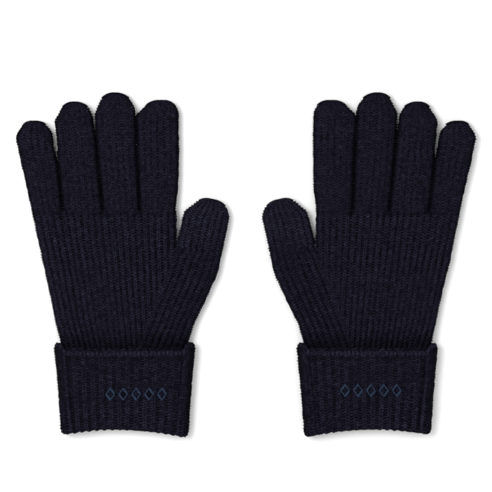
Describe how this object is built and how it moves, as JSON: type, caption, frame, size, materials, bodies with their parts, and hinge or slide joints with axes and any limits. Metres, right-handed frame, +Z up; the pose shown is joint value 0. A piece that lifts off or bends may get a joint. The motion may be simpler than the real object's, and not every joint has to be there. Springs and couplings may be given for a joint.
{
  "type": "knitted gloves",
  "caption": "Pair of rib-knitted gloves lying flat side by side, with turned-back ribbed cuffs, hollow foldable fingers and a small stitched motif on each cuff.",
  "frame": {"origin": "centre of the pair's footprint, on the surface the gloves lie on", "axes": "+X across the pair, from the little finger of the left glove to that of the right one; +Y from the cuffs to the fingertips; +Z up, out of the surface"},
  "size_m": [0.3212, 0.2398, 0.0152],
  "materials": {
    "hand_knit": "matte ribbed knit",
    "cuff_knit": "matte wide-rib knit",
    "cuff_edge_knit": "matte bound-off knit",
    "seam_yarn": "matte yarn",
    "embroidery_thread": "satin thread"
  },
  "bodies": {
    "left_hand": {"left_hand": "hand_knit", "left_cuff_inner": "cuff_knit"},
    "left_little_finger": {"left_little_finger": "hand_knit", "left_little_finger_closing_seam": "seam_yarn"},
    "left_ring_finger": {"left_ring_finger": "hand_knit", "left_ring_finger_closing_seam": "seam_yarn"},
    "left_middle_finger": {"left_middle_finger": "hand_knit", "left_middle_finger_closing_seam": "seam_yarn"},
    "left_index_finger": {"left_index_finger": "hand_knit", "left_index_finger_closing_seam": "seam_yarn"},
    "left_thumb": {"left_thumb": "hand_knit", "left_thumb_closing_seam": "seam_yarn"},
    "left_cuff": {"left_cuff_band": "cuff_knit", "left_cuff_edge": "cuff_edge_knit", "left_embroidered_motif": "embroidery_thread"},
    "right_hand": {"right_hand": "hand_knit", "right_cuff_inner": "cuff_knit"},
    "right_little_finger": {"right_little_finger": "hand_knit", "right_little_finger_closing_seam": "seam_yarn"},
    "right_ring_finger": {"right_ring_finger": "hand_knit", "right_ring_finger_closing_seam": "seam_yarn"},
    "right_middle_finger": {"right_middle_finger": "hand_knit", "right_middle_finger_closing_seam": "seam_yarn"},
    "right_index_finger": {"right_index_finger": "hand_knit", "right_index_finger_closing_seam": "seam_yarn"},
    "right_thumb": {"right_thumb": "hand_knit", "right_thumb_closing_seam": "seam_yarn"},
    "right_cuff": {"right_cuff_band": "cuff_knit", "right_cuff_edge": "cuff_edge_knit", "right_embroidered_motif": "embroidery_thread"}
  },
  "joints": [
    {"name": "left_little_finger_fold", "type": "hinge", "parent": "left_hand", "child": "left_little_finger", "pos_m": [-0.1387, 0.0358, 0.008], "axis": [1, 0, 0], "range_deg": [0, 90]},
    {"name": "left_ring_finger_fold", "type": "hinge", "parent": "left_hand", "child": "left_ring_finger", "pos_m": [-0.114, 0.0358, 0.008], "axis": [1, 0, 0], "range_deg": [0, 90]},
    {"name": "left_middle_finger_fold", "type": "hinge", "parent": "left_hand", "child": "left_middle_finger", "pos_m": [-0.0872, 0.0358, 0.008], "axis": [1, 0, 0], "range_deg": [0, 90]},
    {"name": "left_index_finger_fold", "type": "hinge", "parent": "left_hand", "child": "left_index_finger", "pos_m": [-0.0614, 0.0358, 0.008], "axis": [1, 0, 0], "range_deg": [0, 90]},
    {"name": "left_thumb_fold", "type": "hinge", "parent": "left_hand", "child": "left_thumb", "pos_m": [-0.0325, 0.01112, 0.009], "axis": [0.9781, -0.2079, 0], "range_deg": [0, 80]},
    {"name": "left_cuff_turn_down", "type": "slide", "parent": "left_hand", "child": "left_cuff", "axis": [0, -1, 0], "range_m": [0, 0.056]},
    {"name": "right_little_finger_fold", "type": "hinge", "parent": "right_hand", "child": "right_little_finger", "pos_m": [0.1387, 0.0358, 0.008], "axis": [1, 0, 0], "range_deg": [0, 90]},
    {"name": "right_ring_finger_fold", "type": "hinge", "parent": "right_hand", "child": "right_ring_finger", "pos_m": [0.114, 0.0358, 0.008], "axis": [1, 0, 0], "range_deg": [0, 90]},
    {"name": "right_middle_finger_fold", "type": "hinge", "parent": "right_hand", "child": "right_middle_finger", "pos_m": [0.0872, 0.0358, 0.008], "axis": [1, 0, 0], "range_deg": [0, 90]},
    {"name": "right_index_finger_fold", "type": "hinge", "parent": "right_hand", "child": "right_index_finger", "pos_m": [0.0614, 0.0358, 0.008], "axis": [1, 0, 0], "range_deg": [0, 90]},
    {"name": "right_thumb_fold", "type": "hinge", "parent": "right_hand", "child": "right_thumb", "pos_m": [0.0325, 0.01112, 0.009], "axis": [0.9781, 0.2079, 0], "range_deg": [0, 80]},
    {"name": "right_cuff_turn_down", "type": "slide", "parent": "right_hand", "child": "right_cuff", "axis": [0, -1, 0], "range_m": [0, 0.056]},
    {"name": "right_glove_lift", "type": "slide", "parent": "left_hand", "child": "right_hand", "axis": [0, 0, 1], "range_m": [0, 0.12]}
  ]
}
